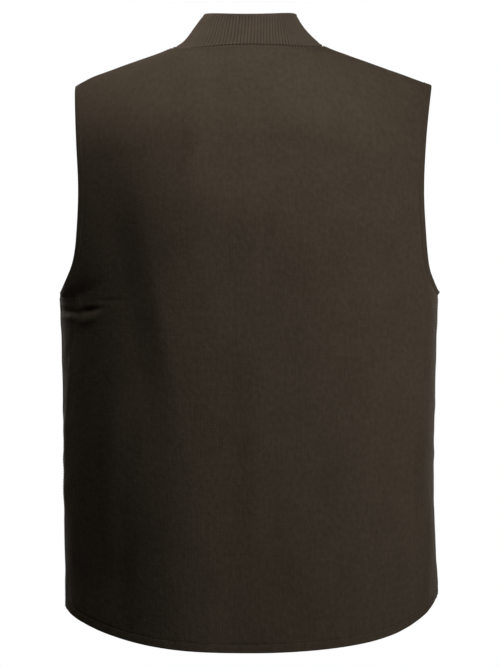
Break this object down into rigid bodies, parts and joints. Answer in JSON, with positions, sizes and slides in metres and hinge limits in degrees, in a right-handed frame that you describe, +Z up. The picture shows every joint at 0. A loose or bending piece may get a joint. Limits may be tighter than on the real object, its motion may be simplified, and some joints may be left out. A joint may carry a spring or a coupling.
{
  "type": "work vest",
  "caption": "Sleeveless dark brown canvas work vest, zipped up as worn, with a rib-knit stand collar, bound armholes and a curved drop-tail hem.",
  "frame": {"origin": "on the centre plane, in the plane of the side seams, at the height of the middles of the shoulder seams, where the vest sits on the wearer's shoulders", "axes": "+Z up along the body, +Y towards the wearer's front (zip), +X towards the wearer's right"},
  "size_m": [0.4453, 0.2477, 0.7362],
  "materials": {
    "canvas": "matt cotton duck",
    "rib_knit": "matt rib knit",
    "binding": "matt woven tape",
    "zip": "satin moulded teeth on woven tape"
  },
  "bodies": {
    "root": {"back_panel": "canvas", "front_panel_left": "canvas", "front_panel_right": "canvas", "rib_collar": "rib_knit", "armhole_binding_left": "binding", "armhole_binding_right": "binding", "front_zip": "zip"}
  },
  "joints": []
}
